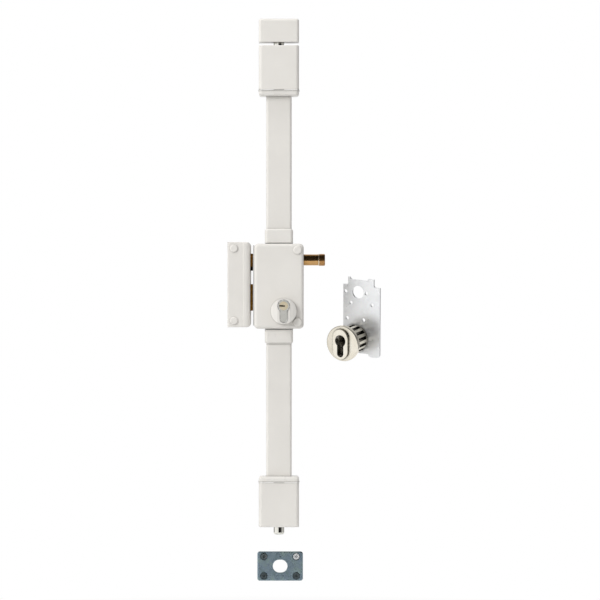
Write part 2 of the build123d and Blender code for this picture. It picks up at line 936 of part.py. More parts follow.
def pull_ring():
    return cross_rod(bolt_mid, pull_z, pull_ring_r, barrel_end, ring_end)


def pull_cap():
    cap = cross_rod(bolt_mid, pull_z, pull_cap_r, ring_end, ring_end + pull_cap_long)
    end_edge = cap.edges().filter_by(GeomType.CIRCLE).sort_by(Axis.X)[-1]
    return fillet(end_edge, pull_cap_round)


def latch_bracket():
    """An angle that carries the pull rod and backs its spring."""
    low = pull_z - bracket_height / 2
    high = pull_z + bracket_height / 2
    wall_top = bolt_mid + bracket_rise
    wall = box(bracket_x, bracket_x + bracket_thick, low, high, back_thick, wall_top)
    foot = box(bracket_x, bracket_x + bracket_foot, low, high, back_thick, back_thick + case_wall)
    hole = cross_rod(
        bolt_mid, pull_z, pull_rod_r + guide_gap, bracket_x - overrun, bracket_x + bracket_foot
    )
    return wall + foot - hole


def latch_spring():
    """A wire helix between the latch bolt and its bracket."""
    low = latch_back + spring_wire_r + running_gap
    high = bracket_x - spring_wire_r - running_gap
    pitch = (high - low) / spring_turns
    coil = Helix(pitch, high - low, spring_r)
    wire = Plane(origin=coil @ 0, z_dir=coil % 0) * Circle(spring_wire_r)
    spring = sweep(wire, path=coil, is_frenet=True)
    return Pos(low, -bolt_mid, pull_z) * Rot(Y=90) * spring


# Flat rods with their racks, round bolts and cross pins

def arm_rack(side):
    """The toothed edge of a rod's arm, on the right (1) or left (-1) of the pinion."""
    low = -rack_overhang
    high = rod_travel + rack_overhang
    body = rod_arm_edge - rod_line - rack_module * root_share
    if side > 0:
        strip = Rot(Z=-90) * rack_face(-high, -low, True, body)
    else:
        strip = Rot(Z=90) * rack_face(-high, -low, False, body)
    return Pos(side * rod_line, drive_z) * strip


def rod_bar(z_from):
    """The plain bar out to the round bolt, narrowed where it enters the bolt's slot."""
    half = rod_width / 2
    neck = rod_neck_width / 2
    bar = span(-half, half, z_from, neck_start) + span(-neck, neck, z_from, bar_stop)
    return bar - Pos(0, bolt_start + cross_pin_inset) * Circle(cross_pin_r + running_gap)


def upper_rod():
    """Rises on the pinion's right side, then steps to the middle."""
    jog = drive_z + rack_overhang + 2 * rod_travel + rod_clear
    half = rod_width / 2
    outline = arm_rack(1) + span(rack_root, rod_arm_edge, drive_z, jog + rod_jog)
    outline += span(-half, rod_arm_edge, jog, jog + rod_jog) + rod_bar(jog)
    return front_plate(outline, rod_low, rod_high)


def lower_rod():
    """Passes left of the cylinder and steps to the middle below it."""
    wide_top = drive_z - rod_pinion_tip - rod_travel - rod_clear
    wide_edge = cylinder_x - euro_r - rod_clear
    jog = cylinder_z - (euro_height - euro_r) - rod_travel - rod_clear
    half = rod_width / 2
    outline = arm_rack(-1) + span(-rod_arm_edge, -rack_root, wide_top - overrun, drive_z)
    outline += span(-rod_arm_edge, wide_edge, jog - rod_jog, wide_top)
    outline += span(-rod_arm_edge, half, jog - rod_jog, jog)
    outline += mirror(rod_bar(-jog), about=Plane.XZ)
    return front_plate(outline, rod_low, rod_high)


def round_bolt():
    bolt = tall_rod(0, rod_mid, bolt_r, bolt_start, bolt_tip)
    tip_edge = bolt.edges().filter_by(GeomType.CIRCLE).sort_by(Axis.Z)[-1]
    bolt = fillet(tip_edge, bolt_round)
    reach = bolt_r + overrun
    slot_low = rod_low - bolt_slot_gap
    slot_high = rod_high + bolt_slot_gap
    bolt -= box(-reach, reach, bolt_start - overrun, bolt_start + bolt_slot_deep, slot_low, slot_high)
    pin_z = bolt_start + cross_pin_inset
    return bolt - depth_rod(0, pin_z, cross_pin_r + running_gap, rod_mid - reach, rod_mid + reach)


def cross_pin():
    reach = bolt_r - cross_pin_short
    pin_z = bolt_start + cross_pin_inset
    return depth_rod(0, pin_z, cross_pin_r, rod_mid - reach, rod_mid + reach)


# Collars and bar covers

def channel_face(width, depth, corner):
    """A rectangle from the door forward, with its two front corners rounded."""
    face = span(-width / 2, width / 2, 0, depth)
    return fillet(face.vertices().group_by(Axis.Y)[-1], corner)


def bar_passage(z_low, z_high):
    """The cut that lets a bar cover through."""
    half = bar_width / 2 + slide_gap
    return box(-half, half, z_low, z_high, -overrun, bar_depth + slide_gap)


def collar():
    body = plan_bar(channel_face(collar_width, collar_depth, collar_corner), collar_start, collar_end)
    end_face = body.faces().sort_by(Axis.Z)[-1]
    front_edges = end_face.edges().filter_by(lambda edge: edge.center().Y < -slide_gap)
    body = chamfer(front_edges, collar_chamfer)
    return body - bar_passage(collar_start - overrun, collar_end + overrun)


def bar_cover():
    low = collar_start + bar_inset
    high = guide_seam - bar_inset
    outer = channel_face(bar_width, bar_depth, bar_corner)
    inner = channel_face(bar_width - 2 * bar_wall, bar_depth - bar_wall, bar_corner - bar_wall)
    return plan_bar(outer, low, high) - plan_bar(inner, low - overrun, high + overrun)


# Guide boxes

def guide_form(z_low, z_high, inset, corner):
    """The box's section between two heights, or its hollow when it is inset."""
    return plan_bar(channel_face(guide_width - 2 * inset, guide_depth - inset, corner), z_low, z_high)


def guide_hollow(z_low, z_high):
    """The box's hollow, open to the door."""
    half = guide_width / 2 - guide_wall
    rounded = guide_form(z_low, z_high, guide_wall, guide_edge - guide_wall)
    return rounded + box(-half, half, z_low, z_high, -overrun, guide_wall)


def end_front_edges(body, highest):
    """The edges of an end face that don't lie on the door."""
    end_face = body.faces().filter_by(Axis.Z).sort_by(Axis.Z)[-1 if highest else 0]
    return end_face.edges().filter_by(lambda edge: edge.center().Y < -slide_gap)


def guide_cap():
    """The end cap that lets the bar cover in."""
    high = guide_seam - guide_seam_gap
    body = guide_form(guide_start, high, 0, guide_edge)
    body = fillet(end_front_edges(body, False), guide_cap_round)
    lip = channel_face(guide_width + 2 * guide_lip, guide_depth + guide_lip, guide_edge + guide_lip)
    body += plan_bar(lip, high - guide_lip_height, high)
    body -= guide_hollow(guide_start + guide_cap_round, guide_seam + overrun)
    return body - bar_passage(guide_start - overrun, guide_seam + overrun)


def guide_cover():
    body = guide_form(guide_seam, guide_end, 0, guide_edge)
    body = fillet(end_front_edges(body, True), guide_end_round)
    body -= guide_hollow(guide_seam - overrun, guide_end - guide_wall)
    bore = tall_rod(0, rod_mid, bolt_r + slide_gap, guide_end - guide_wall - overrun, guide_end + overrun)
    return body - bore


def guide_base():
    outline = span(-guide_inner, guide_inner, base_low, base_high)
    fixings = GridLocations(guide_fixing_x, guide_fixing_z, 2, 2)
    outline -= Pos(0, base_mid) * fixings * Circle(guide_fixing_r)
    screws = GridLocations(2 * guide_screw_x, 0, 2, 1)
    outline -= Pos(0, block_mid) * screws * Circle(guide_screw_r + running_gap)
    return front_plate(outline, 0, guide_base_thick)


def guide_block():
    """The block that the round bolt slides in."""
    half = guide_block_width / 2
    block = box(-half, half, block_low, block_high, guide_base_thick, block_top)
    block -= tall_rod(0, rod_mid, bolt_r + running_gap, block_low - overrun, block_high + overrun)
    for x in (-guide_screw_x, guide_screw_x):
        block -= depth_rod(x, block_mid, guide_screw_r + hole_gap, 0, block_top + overrun)
    return block


def guide_screws():
    length = block_top - joint_line
    screw = slotted_screw(guide_screw_head_r, guide_screw_head, guide_screw_r, length)
    top = block_top + guide_screw_head
    return [forward(x, block_mid, top) * screw for x in (-guide_screw_x, guide_screw_x)]


# Top keeper

def top_keeper_cover():
    """A shell with a round top, open to the frame and pierced for the bolt."""
    outer = channel_face(top_keeper_width, top_keeper_depth, top_keeper_edge)
    body = plan_bar(outer, keeper_low, keeper_high)
    top_face = body.faces().sort_by(Axis.Z)[-1]
    top_edges = top_face.edges().filter_by(lambda edge: edge.center().Y < -slide_gap)
    body = fillet(top_edges, top_keeper_edge - running_gap)
    wall = top_keeper_wall
    half = top_keeper_width / 2 - wall
    inner = channel_face(2 * half, top_keeper_depth - wall, top_keeper_edge - wall)
    hollow = plan_bar(inner, keeper_low + wall, keeper_high - wall)
    body -= hollow + box(-half, half, keeper_low + wall, keeper_high - wall, -overrun, wall)
    cut_end = keeper_low + wall + overrun
    return body - tall_rod(0, rod_mid, bolt_r + top_bolt_gap, keeper_low - overrun, cut_end)


def top_keeper_base():
    """An angle whose lip takes the bolt behind the cover's lower wall."""
    half = top_keeper_width / 2 - top_keeper_wall - joint_line
    outline = span(-half, half, top_base_low, top_base_high)
    outline -= Pos(0, top_fixing_z) * GridLocations(top_fixing_pitch, 0, 2, 1) * Circle(top_fixing_r)
    base = front_plate(outline, 0, top_base_thick)
    lip_high = top_base_low + top_base_lip
    base += box(-half, half, top_base_low, lip_high, 0, top_base_lip_depth)
    return base - tall_rod(0, rod_mid, bolt_r + slide_gap, top_base_low - overrun, lip_high + overrun)


# Side keeper

def side_keeper_plan():
    """The keeper's section: flat face, narrow ridge and round shoulder."""
    centre_depth = side_keeper_depth - side_shoulder
    slant = side_shoulder * sin(pi / 4)
    corner = side_left_round
    tuck = corner * (1 - sin(pi / 4))
    edges = Polyline(
        (keeper_right, centre_depth), (keeper_right, 0), (keeper_left, 0), (keeper_left, side_face - corner)
    )
    edges += ThreePointArc(
        (keeper_left, side_face - corner),
        (keeper_left + tuck, side_face - tuck),
        (keeper_left + corner, side_face),
    )
    edges += Polyline(
        (keeper_left + corner, side_face),
        (ridge_left - side_keeper_ridge, side_face),
        (ridge_left, side_keeper_depth),
        (ridge_right, side_keeper_depth),
    )
    edges += ThreePointArc(
        (ridge_right, side_keeper_depth),
        (ridge_right + slant, centre_depth + slant),
        (keeper_right, centre_depth),
    )
    return make_face(edges)


def side_keeper_front(inset):
    """The keeper seen from the front, with its corners by the lock rounded."""
    outline = span(keeper_left + inset, keeper_right - inset, keeper_bottom + inset, keeper_top - inset)
    return fillet(outline.vertices().group_by(Axis.X)[-1], side_right_corner - inset)


def side_cap_places():
    x = keeper_left + side_cap_x
    return [(x, side_keeper_rise + side_cap_z), (x, side_keeper_rise - side_cap_z)]


def side_keeper_cover():
    form = plan_bar(side_keeper_plan(), keeper_bottom, keeper_top)
    ends = span(0, side_keeper_depth, keeper_bottom, keeper_top)
    ends = fillet(ends.vertices().group_by(Axis.X)[-1], side_end_round)
    form &= side_bar(ends, keeper_left, keeper_right)
    form &= front_plate(side_keeper_front(0), 0, side_keeper_depth)
    hollow = front_plate(side_keeper_front(side_keeper_wall), -overrun, side_face - side_keeper_wall)
    inner_right = keeper_right - side_keeper_wall
    section = span(keeper_left, inner_right, -overrun, side_face - side_keeper_wall)
    round_corner = section.vertices().group_by(Axis.X)[-1].sort_by(Axis.Y)[-1]
    section = fillet(round_corner, side_shoulder - side_keeper_wall)
    hollow &= plan_bar(section, keeper_bottom, keeper_top)
    cover = form - hollow - bolt_windows(inner_right - overrun, keeper_right + overrun)
    for x, z in side_cap_places():
        cover += depth_rod(x, z, side_cap_r, side_pillar_low, side_face)
        cover -= depth_rod(x, z, screw_head_r + hole_gap, side_head_low, side_face + overrun)
        cover -= depth_rod(x, z, screw_r + hole_gap, side_pillar_low - overrun, side_head_low)
    return cover


def side_keeper_base():
    """A plate with a flange that takes the bolts, and two posts for the cover's screws."""
    inset = side_keeper_wall + joint_line
    middle = Pos(keeper_left + side_keeper_width / 2, side_keeper_rise)
    outline = side_keeper_front(inset)
    outline -= middle * GridLocations(side_fixing_x, side_fixing_z, 2, 2) * Circle(side_fixing_r)
    plate = front_plate(outline, 0, side_base_thick)
    flange_right = keeper_right - inset
    flange_left = flange_right - side_flange_thick
    flange_depth = side_face - side_shoulder
    half = side_keeper_height / 2 - side_right_corner
    flange = box(
        flange_left, flange_right, side_keeper_rise - half, side_keeper_rise + half, 0, flange_depth
    )
    base = plate + flange - bolt_windows(flange_left - overrun, flange_right + overrun)
    for x, z in side_cap_places():
        base += depth_rod(x, z, post_r, 0, side_pillar_low)
        bore_low = side_head_low - screw_length - layer_gap
        base -= depth_rod(x, z, screw_r + running_gap, bore_low, side_pillar_low + overrun)
    return base


def side_keeper_screws():
    screw = slotted_screw(screw_head_r, screw_head_thick, screw_r, screw_length)
    return [forward(x, z, side_head_low + screw_head_thick) * screw for x, z in side_cap_places()]


def side_keeper_caps():
    spigot_long = head_recess - screw_head_thick - recess_gap
    caps = []
    for x, z in side_cap_places():
        cap = forward(x, z, side_face) * cap_button(side_cap_r)
        caps.append(cap + depth_rod(x, z, screw_head_r, side_face - spigot_long, side_face))
    return caps


# Inner escutcheon

def boss():
    """A round boss whose front falls away in facets to the left and right."""
    x = cylinder_x
    z = cylinder_z - boss_drop
    disc = depth_rod(x, z, boss_r, case_depth, boss_face)
    flat = boss_flat / 2
    facet = flat + boss_facet
    fall = boss_height * boss_fall_share
    reach = boss_r + overrun
    edge = case_depth + boss_edge_height
    outline = Polygon(
        (x - reach, 0),
        (x - reach, edge),
        (x - facet, boss_face - fall),
        (x - flat, boss_face),
        (x + flat, boss_face),
        (x + facet, boss_face - fall),
        (x + reach, edge),
        (x + reach, 0),
        align=None,
    )
    disc &= plan_bar(outline, z - reach, z + reach)
    opening = Pos(cylinder_x, cylinder_z) * profile_face(hole_gap)
    return disc - front_plate(opening, case_depth - overrun, boss_face + overrun)


# Floor strike plate

def strike_places():
    return Pos(strike_shift, strike_z) * GridLocations(strike_pitch_x, strike_pitch_z, 2, 2)


def strike_plate():
    outline = Pos(strike_shift, strike_z) * RectangleRounded(strike_width, strike_height, strike_corner)
    plate = front_plate(outline, 0, strike_thick)
    front = plate.faces().sort_by(Axis.Y)[0]
    plate = chamfer(front.edges(), strike_bevel)
    slot = Pos(strike_shift, strike_z) * SlotOverall(strike_hole_width, strike_hole_height)
    plate -= front_plate(slot, -overrun, strike_thick + overrun)
    for place in strike_places():
        x, z = place.position.X, place.position.Y
        plate -= depth_rod(x, z, strike_neck_r + running_gap, -overrun, strike_thick + overrun)
        plate -= forward(x, z, strike_thick) * strike_sink(running_gap)
        ring_low = strike_thick - strike_ring_deep
        plate -= depth_rod(x, z, strike_head_r + strike_ring, ring_low, strike_thick + overrun)
    for side in (-1, 1):
        x = strike_shift + strike_dimple_x * (1 - side)
        z = strike_z + side * strike_dimple_z
        plate -= depth_rod(x, z, strike_dimple_r, strike_thick - strike_dimple_r, strike_thick + overrun)
    return plate


def strike_sink(gap):
    """The countersunk seat below a floor strike screw's head, along local Z."""
    seat = Cone(strike_neck_r + gap, strike_head_r + gap, strike_countersink)
    return Pos(0, 0, -strike_countersink / 2) * seat


def strike_screws():
    """Wood screws whose heads stand a little proud."""
    rim = Pos(0, 0, strike_head_proud / 2) * Cylinder(strike_head_r, strike_head_proud)
    rim = chamfer(rim.edges().sort_by(Axis.Z)[-1], strike_head_proud / 2)
    length = strike_screw_length - strike_countersink
    shank = Pos(0, 0, -strike_countersink - length / 2) * Cylinder(strike_screw_r, length)
    neck_long = strike_thick + strike_neck_end - strike_countersink
    shank += Pos(0, 0, -strike_countersink - neck_long / 2) * Cylinder(strike_neck_r, neck_long)
    recess = Pos(0, 0, strike_head_proud - drive_slot_deep / 2)
    slot = recess * Box(drive_slot_long, drive_slot, drive_slot_deep)
    screw = rim + strike_sink(0) + shank - slot - Rot(Z=90) * slot
    screw -= recess * Cylinder(strike_socket_r, drive_slot_deep)
    screws = []
    for place in strike_places():
        screws.append(forward(place.position.X, place.position.Y, strike_thick) * screw)
    return screws


# Exterior unit, drawn about the foot of its tube with Z pointing out of the door

def outer_place():
    """The turned place of the exterior unit."""
    yaw, pitch = outer_yaw, outer_pitch
    across = (cos(yaw), -sin(yaw) * cos(pitch), -sin(yaw) * sin(pitch))
    outward = (-sin(yaw), -cos(yaw) * cos(pitch), -cos(yaw) * sin(pitch))
    foot = (case_width / 2 + outer_gap_x, outer_back, cylinder_z - outer_drop)
    return Plane(origin=foot, x_dir=across, z_dir=outward).location


def outer_fixings():
    """The small holes of the plate, in three rows."""
    rows = [
        (0, outer_low_x, outer_low_z),
        (outer_mid_shift, outer_mid_x, outer_mid_z),
        (outer_high_shift, outer_high_x, outer_high_z),
    ]
    return [(shift + side * x, z) for shift, x, z in rows for side in (-1, 1)]


def tube_screw_places():
    return [(-tube_screw_ring, 0), (tube_screw_ring, 0)]


def outer_plate():
    outline = span(-outer_left, outer_right, -outer_bottom, outer_shoulder)
    top = outer_shoulder + outer_tab_rise
    outline += span(-outer_tab_left, outer_tab_right, outer_shoulder - overrun, top)
    middle = outer_shoulder + outer_tab_rise / 2
    inward = outline.vertices().filter_by(lambda corner: corner.Y < middle).sort_by(Axis.Y)[-4:]
    outline = fillet(inward.sort_by(Axis.X)[1:3], outer_notch_round)
    foot_height = outer_foot_width
    foot_z = -outer_bottom - outer_foot_drop + foot_height / 2
    for x in (-outer_left + outer_foot_width / 2, outer_right - outer_foot_width / 2):
        outline += Pos(x, foot_z) * RectangleRounded(outer_foot_width, foot_height, outer_foot_round)
    half = outer_recess_width / 2
    recess = span(outer_recess_x - half, outer_recess_x + half, top - outer_recess_deep, top + overrun)
    outline -= fillet(recess.vertices().group_by(Axis.Y)[0], outer_notch_round)
    outline -= Pos(outer_hole_x, outer_hole_z) * Circle(outer_hole_r)
    for x, z in outer_fixings():
        outline -= Pos(x, z) * Circle(outer_fixing_r)
    for x, z in tube_screw_places():
        outline -= Pos(x, z) * Circle(tube_screw_r + running_gap)
    outline -= Pos(outer_euro_x, outer_euro_z) * profile_face(hole_gap)
    return extrude(outline, -outer_plate_thick)


def outer_tube():
    """A slotted tube with a floor that is screwed to the plate."""
    ring = Circle(tube_r) - Circle(tube_r - tube_wall)
    tube = extrude(ring, tube_length) + extrude(Circle(tube_r), tube_floor)
    tube -= extrude(Pos(outer_euro_x, outer_euro_z) * profile_face(hole_gap), tube_floor + overrun)
    for x, z in tube_screw_places():
        tube -= extrude(Pos(x, z) * Circle(tube_screw_r + running_gap), tube_floor - tube_screw_tip)
    slot_long = tube_length - tube_slot_start - tube_slot_end
    slot = Box(2 * tube_wall, tube_slot_width, slot_long)
    slot_z = tube_slot_start + slot_long / 2
    for number in range(tube_slots):
        turn = (number + 1 / 2) * 360 / tube_slots
        tube -= Rot(Z=turn) * Pos(tube_r, 0, slot_z) * slot
    return tube


def insert_face(gap):
    width = insert_width + 2 * gap
    height = insert_height + 2 * gap
    return Pos(insert_x, insert_z) * Rot(Z=90) * SlotOverall(height, width)


def outer_rosette():
    disc = extrude(Circle(rosette_r), rosette_thick)
    disc = fillet(disc.edges().sort_by(Axis.Z)[-1], rosette_edge)
    disc -= extrude(insert_face(insert_fit), rosette_thick + overrun)
    return Pos(0, 0, tube_length) * disc


def outer_insert():
    height = rosette_thick + insert_rise
    insert = extrude(insert_face(0), height)
    top = insert.faces().sort_by(Axis.Z)[-1]
    insert = fillet(top.edges(), insert_round)
    insert -= extrude(Pos(outer_euro_x, outer_euro_z) * profile_face(hole_gap), height)
    return Pos(0, 0, tube_length) * insert


def outer_screws():
    """Screws from behind the plate into the tube's floor."""
    length = outer_plate_thick + tube_floor - 2 * tube_screw_tip
    screw = slotted_screw(tube_screw_head_r, tube_screw_head, tube_screw_r, length)
    foot = -outer_plate_thick - tube_screw_head
    return [Pos(x, z, foot) * Rot(X=180) * screw for x, z in tube_screw_places()]


# Writing the sub-parts

os.makedirs("parts", exist_ok=True)

save("case_back_plate", back_plate())
save("case_cover", case_cover())
save("case_posts", *case_posts())
save("cover_screws", *cover_screws())
save("cover_screw_caps", *cover_caps())
save("forend_plate", forend_plate())
save("forend_screws", *forend_screws())
save("inner_escutcheon", boss())

save("cylinder_body", cylinder_body())
save("cylinder_plug_inner", inner_plug())
save("cylinder_plug_outer", outer_plug())
save("cylinder_cam_gear", cam_gear())
save("cylinder_clutch", clutch())
save("key_pins", *key_pins())
save("driver_pins", *driver_pins())
save("cylinder_fixing_screw", cylinder_screw())

save("drive_gear", drive_gear())
save("drive_gear_shaft", drive_shaft())
save("drive_gear_clip", drive_clip())
save("dead_bolt", dead_bolt())
save("latch_bolt", latch_bolt())
save("latch_rod", latch_rod())
save("latch_bracket", latch_bracket())
save("latch_spring", latch_spring())
save("pull_barrel", pull_barrel())
save("pull_ring", pull_ring())
save("pull_cap", pull_cap())

save("upper_rod", upper_rod())
save("lower_rod", lower_rod())

# Pieces that both ends of the lock have
end_pieces = {
    "bolt": [round_bolt()],
    "bolt_pin": [cross_pin()],
    "collar": [collar()],
    "bar_cover": [bar_cover()],
    "guide_cap": [guide_cap()],
    "guide_cover": [guide_cover()],
    "guide_base": [guide_base()],
    "guide_block": [guide_block()],
    "guide_screws": guide_screws(),
}
for name, pieces in end_pieces.items():
    save(f"upper_{name}", *pieces)
    save(f"lower_{name}", *[lower_copy(piece) for piece in pieces])

save("top_keeper_cover", top_keeper_cover())
save("top_keeper_base", top_keeper_base())
save("side_keeper_cover", side_keeper_cover())
save("side_keeper_base", side_keeper_base())
save("side_keeper_screws", *side_keeper_screws())
save("side_keeper_caps", *side_keeper_caps())
save("floor_strike_plate", strike_plate())
save("floor_strike_screws", *strike_screws())

place = outer_place()
save("outer_plate", place * outer_plate())
save("outer_tube", place * outer_tube())
save("outer_rosette", place * outer_rosette())
save("outer_insert", place * outer_insert())
save("outer_tube_screws", *[place * screw for screw in outer_screws()])
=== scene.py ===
"""Looks of the multipoint door lock: procedural materials, studio light and the camera.

Lengths are in metres, colours in linear light, and a noise's scale in cells per metre.
"""
import math

import bpy
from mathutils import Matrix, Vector

# Camera: straight on from the room side
camera_x = 0.0315
camera_z = -0.0206
camera_distance = 5.0
frame_width = 0.9
sensor_width = 36.0

# Floor: round, and fading to white between two shares of its radius
floor_z = -0.57
floor_radius = 1.6
floor_sides = 96
floor_fade_shares = (0.3, 0.75)
floor_tones = [(0.86, 0.86, 0.86), (0.9, 0.9, 0.9)]

# Lamps that face the origin: name, place, width, height, and power in watts
lamps = [
    ("key", (-1.9, -2.0, 1.5), 1.2, 1.6, 53),
    ("fill", (2.2, -1.4, 0.1), 1.0, 2.0, 7),
    ("top", (-0.2, -0.4, 2.3), 1.4, 1.0, 14),
]

# Soft light on what is dull: the side that it comes from, and its shade from the far side to there
soft_side = (-0.6, -0.3, 0.74)
soft_shades = [(0.0, 0.14), (0.45, 0.26), (0.7, 0.5), (1.0, 0.8)]

# Studio that metal reflects: its bright side, and its shade from the far side to there
bright_side = (-0.5, 0.45, -0.74)
bright_shades = [(0.06, 0.02), (0.14, 0.06), (0.27, 0.58), (0.42, 0.9), (0.7, 1.0)]

# Dark panels in that studio along a turn: the left is 0, the front 0.25, the right 0.5 and the back 0.75
panel_shades = [
    (0.218, 1.0), (0.235, 0.0), (0.378, 0.0), (0.39, 1.0), (0.55, 1.0), (0.58, 0.15), (0.64, 0.15),
    (0.68, 1.0), (0.82, 1.0), (0.85, 0.15), (0.93, 0.15), (0.96, 1.0),
]

# Heights between which the lower edge of each brass bolt turns dark, as a painted dark reflection
latch_dark_heights = (0.0285, 0.0315)
dead_bolt_dark_heights = (-0.0395, -0.0375)

# How far the paler colour around one screw of the floor strike reaches
pale_reach = 0.014

# Stretch of the noise that draws tool marks: large across them, small along them, and even for specks
lines_sideways = (30, 900, 2600)
lines_sideways_fine = (40, 2200, 2200)
rings_round_x = (3600, 40, 40)
rings_round_z = (60, 60, 3000)
rings_round_z_fine = (60, 60, 3600)
specks = (1400, 1400, 1400)
specks_coarse = (900, 900, 900)


def new_material(name):
    """A new material, its node tree and its Principled shader."""
    material = bpy.data.materials.new(name)
    material.use_nodes = True
    tree = material.node_tree
    tree.nodes.clear()
    output = tree.nodes.new("ShaderNodeOutputMaterial")
    shader = tree.nodes.new("ShaderNodeBsdfPrincipled")
    tree.links.new(shader.outputs["BSDF"], output.inputs["Surface"])
    return material, tree, shader


def object_space(tree, stretch=(1, 1, 1)):
    """Coordinates of the frame, stretched along each axis."""
    place = tree.nodes.new("ShaderNodeTexCoord")
    mapping = tree.nodes.new("ShaderNodeMapping")
    mapping.inputs["Scale"].default_value = stretch
    tree.links.new(place.outputs["Object"], mapping.inputs["Vector"])
    return mapping.outputs["Vector"]


def noise(tree, scale, detail=3.0, roughness=0.55, stretch=(1, 1, 1)):
    """A noise value between 0 and 1."""
    texture = tree.nodes.new("ShaderNodeTexNoise")
    texture.inputs["Scale"].default_value = scale
    texture.inputs["Detail"].default_value = detail
    texture.inputs["Roughness"].default_value = roughness
    tree.links.new(object_space(tree, stretch), texture.inputs["Vector"])
    return texture.outputs["Fac"]


def ramp(tree, value, stops):
    """Colours along a value: stops are (position, colour)."""
    node = tree.nodes.new("ShaderNodeValToRGB")
    points = node.color_ramp.elements
    while len(points) < len(stops):
        points.new(0.5)
    for point, (position, colour) in zip(points, stops):
        point.position = position
        point.color = (*colour, 1.0)
    tree.links.new(value, node.inputs["Fac"])
    return node.outputs["Color"]


def evenly(colours, low=0.3, high=0.7):
    """Stops for a ramp: colours evenly spaced between a low and a high position."""
    step = (high - low) / (len(colours) - 1)
    return [(low + step * number, colour) for number, colour in enumerate(colours)]


def greys(shades):
    """Stops for a ramp of greys: shades are (position, shade)."""
    return [(position, (shade, shade, shade)) for position, shade in shades]


def between(tree, value, low, high, out_low, out_high):
    """Maps a value from one range to another."""
    node = tree.nodes.new("ShaderNodeMapRange")
    for name, number in zip(("From Min", "From Max", "To Min", "To Max"), (low, high, out_low, out_high)):
        node.inputs[name].default_value = number
    tree.links.new(value, node.inputs["Value"])
    return node.outputs["Result"]


def drifting(tree, value, middle, less, more, low=0.3, high=0.7):
    """A value around a middle, that drifts with a noise."""
    return between(tree, value, low, high, middle - less, middle + more)


def dimmed(tree, colour, share):
    """A colour times a share."""
    shade = tree.nodes.new("ShaderNodeVectorMath")
    shade.operation = "SCALE"
    tree.links.new(colour, shade.inputs[0])
    tree.links.new(share, shade.inputs["Scale"])
    return shade.outputs["Vector"]


def painted_dark_below(tree, colour, low, high, darkest=0.05):
    """Paints a dark reflection into a colour: darkens it downwards, between a high and a low height."""
    parts = tree.nodes.new("ShaderNodeSeparateXYZ")
    tree.links.new(object_space(tree), parts.inputs["Vector"])
    return dimmed(tree, colour, between(tree, parts.outputs["Z"], low, high, darkest, 1))


def painted_corner_shade(tree, colour, reach, darkest, deepest=0.1, open_share=0.9):
    """Paints shade into a colour: darkens it in seams, holes and corners narrower than a reach."""
    shelter = tree.nodes.new("ShaderNodeAmbientOcclusion")
    shelter.samples = 8
    shelter.inputs["Distance"].default_value = reach
    return dimmed(tree, colour, between(tree, shelter.outputs["AO"], deepest, open_share, darkest, 1))


def paled_around(tree, colour, place, pale_colour, full_share=0.9):
    """Turns a colour into a paler grey around a place."""
    apart = tree.nodes.new("ShaderNodeVectorMath")
    apart.operation = "DISTANCE"
    apart.inputs[1].default_value = place
    tree.links.new(object_space(tree), apart.inputs[0])
    mix = tree.nodes.new("ShaderNodeMix")
    mix.data_type = "RGBA"
    mix.inputs["B"].default_value = (*pale_colour, 1.0)
    share = between(tree, apart.outputs["Value"], pale_reach * full_share, pale_reach, 1, 0)
    tree.links.new(share, mix.inputs["Factor"])
    tree.links.new(colour, mix.inputs["A"])
    return mix.outputs["Result"]


def speckled(tree, colour, scale, share):
    """A colour times small random crystals, by a share."""
    crystals = tree.nodes.new("ShaderNodeTexVoronoi")
    crystals.inputs["Scale"].default_value = scale
    tree.links.new(object_space(tree), crystals.inputs["Vector"])
    mix = tree.nodes.new("ShaderNodeMix")
    mix.data_type = "RGBA"
    mix.blend_type = "MULTIPLY"
    mix.inputs["Factor"].default_value = share
    tree.links.new(colour, mix.inputs["A"])
    tree.links.new(crystals.outputs["Color"], mix.inputs["B"])
    return mix.outputs["Result"]


def rounded(tree, radius):
    """A normal that rounds off the edges."""
    bevel = tree.nodes.new("ShaderNodeBevel")
    bevel.samples = 4
    bevel.inputs["Radius"].default_value = radius
    return bevel.outputs["Normal"]


def bumped(tree, normal, height, strength, distance):
    """A normal with the bumps of a height over it."""
    bump = tree.nodes.new("ShaderNodeBump")
    bump.inputs["Strength"].default_value = strength
    bump.inputs["Distance"].default_value = distance
    tree.links.new(height, bump.inputs["Height"])
    tree.links.new(normal, bump.inputs["Normal"])
    return bump.outputs["Normal"]


def finish_shader(tree, shader, colour, roughness, normal):
    """Joins a colour, a roughness and a normal to a shader."""
    tree.links.new(colour, shader.inputs["Base Color"])
    tree.links.new(roughness, shader.inputs["Roughness"])
    tree.links.new(normal, shader.inputs["Normal"])


def enamel(name, colours, gloss=0.36, edge=0.0007):
    """Stove enamel on sheet metal: faint clouds in its tone and an orange-peel skin."""
    material, tree, shader = new_material(name)
    clouds = ramp(tree, noise(tree, scale=16, detail=4.0), evenly(colours))
    # painted shade in seams, holes and corners
    tone = painted_corner_shade(tree, clouds, reach=0.0025, darkest=0.5)
    sheen = drifting(tree, noise(tree, scale=60), gloss, less=0.05, more=0.06)
    skin = noise(tree, scale=900, detail=2.0)
    normal = bumped(tree, rounded(tree, edge), skin, strength=0.10, distance=0.00012)
    finish_shader(tree, shader, tone, sheen, normal)
    shader.inputs["Coat Weight"].default_value = 0.25
    shader.inputs["Coat Roughness"].default_value = 0.18
    return material


